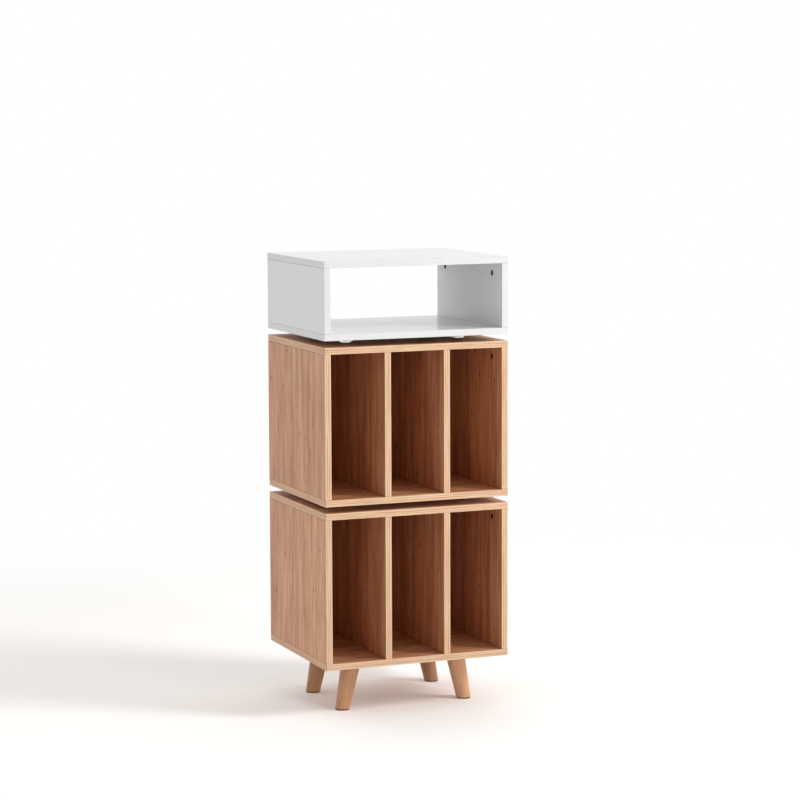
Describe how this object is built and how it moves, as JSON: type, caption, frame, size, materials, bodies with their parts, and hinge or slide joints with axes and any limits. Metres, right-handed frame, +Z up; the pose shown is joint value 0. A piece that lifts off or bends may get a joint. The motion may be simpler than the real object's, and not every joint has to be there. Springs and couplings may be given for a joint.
{
  "type": "audio rack",
  "caption": "Free-standing audio rack: stacked wood-look cubes with upright record bays and a low open white shelf, on short metal feet and splayed tapered wooden legs.",
  "frame": {"origin": "middle of the rack's footprint, on the floor", "axes": "+X to the right seen from the front, +Y to the back, +Z up"},
  "size_m": [0.475, 0.4, 1.1],
  "materials": {
    "wood_board": "wood-look foil, satin",
    "wood_edge_band": "wood-look, satin",
    "white_board": "white foil, satin",
    "white_edge_band": "white, matt",
    "leg_wood": "oiled hardwood, satin",
    "plate_steel": "black enamel",
    "glide_plastic": "brown, matt",
    "foot_nickel": "bright nickel",
    "pad_rubber": "matt",
    "insert_brass": "plain",
    "cam_alloy": "dull zinc alloy",
    "dowel_wood": "bare beech",
    "zinc_steel": "zinc plated"
  },
  "bodies": {
    "base_unit": {"base_back_panel": "wood_board", "base_back_screws": "zinc_steel", "base_bottom_panel": "wood_board", "base_cam_bolts": "zinc_steel", "base_cam_locks": "cam_alloy", "base_confirmat_screws": "zinc_steel", "base_deck_bands": "wood_edge_band", "base_dowels": "dowel_wood", "base_left_divider": "wood_board", "base_left_side": "wood_board", "base_right_divider": "wood_board", "base_right_side": "wood_board", "base_top_panel": "wood_board", "base_upright_bands": "wood_edge_band", "leg_back_left": "leg_wood", "leg_back_right": "leg_wood", "leg_front_left": "leg_wood", "leg_front_right": "leg_wood", "leg_glides": "glide_plastic", "leg_hanger_bolts": "zinc_steel", "leg_plate_screws": "zinc_steel", "leg_plates": "plate_steel"},
    "middle_unit": {"middle_back_panel": "wood_board", "middle_back_screws": "zinc_steel", "middle_bottom_panel": "wood_board", "middle_cam_bolts": "zinc_steel", "middle_cam_locks": "cam_alloy", "middle_confirmat_screws": "zinc_steel", "middle_deck_bands": "wood_edge_band", "middle_dowels": "dowel_wood", "middle_foot_inserts": "insert_brass", "middle_foot_pads": "pad_rubber", "middle_foot_studs": "zinc_steel", "middle_left_divider": "wood_board", "middle_left_side": "wood_board", "middle_right_divider": "wood_board", "middle_right_side": "wood_board", "middle_stack_feet": "foot_nickel", "middle_top_panel": "wood_board", "middle_upright_bands": "wood_edge_band"},
    "shelf_unit": {"shelf_bottom_panel": "white_board", "shelf_cam_bolts": "zinc_steel", "shelf_cam_locks": "cam_alloy", "shelf_confirmat_screws": "zinc_steel", "shelf_deck_bands": "white_edge_band", "shelf_dowels": "dowel_wood", "shelf_foot_inserts": "insert_brass", "shelf_foot_pads": "pad_rubber", "shelf_foot_studs": "zinc_steel", "shelf_left_side": "white_board", "shelf_right_side": "white_board", "shelf_stack_feet": "foot_nickel", "shelf_top_panel": "white_board", "shelf_upright_bands": "white_edge_band"}
  },
  "joints": [
    {"name": "middle_lift", "type": "slide", "parent": "base_unit", "child": "middle_unit", "axis": [0, 0, 1], "range_m": [0, 0.15]},
    {"name": "shelf_lift", "type": "slide", "parent": "middle_unit", "child": "shelf_unit", "axis": [0, 0, 1], "range_m": [0, 0.15]}
  ]
}
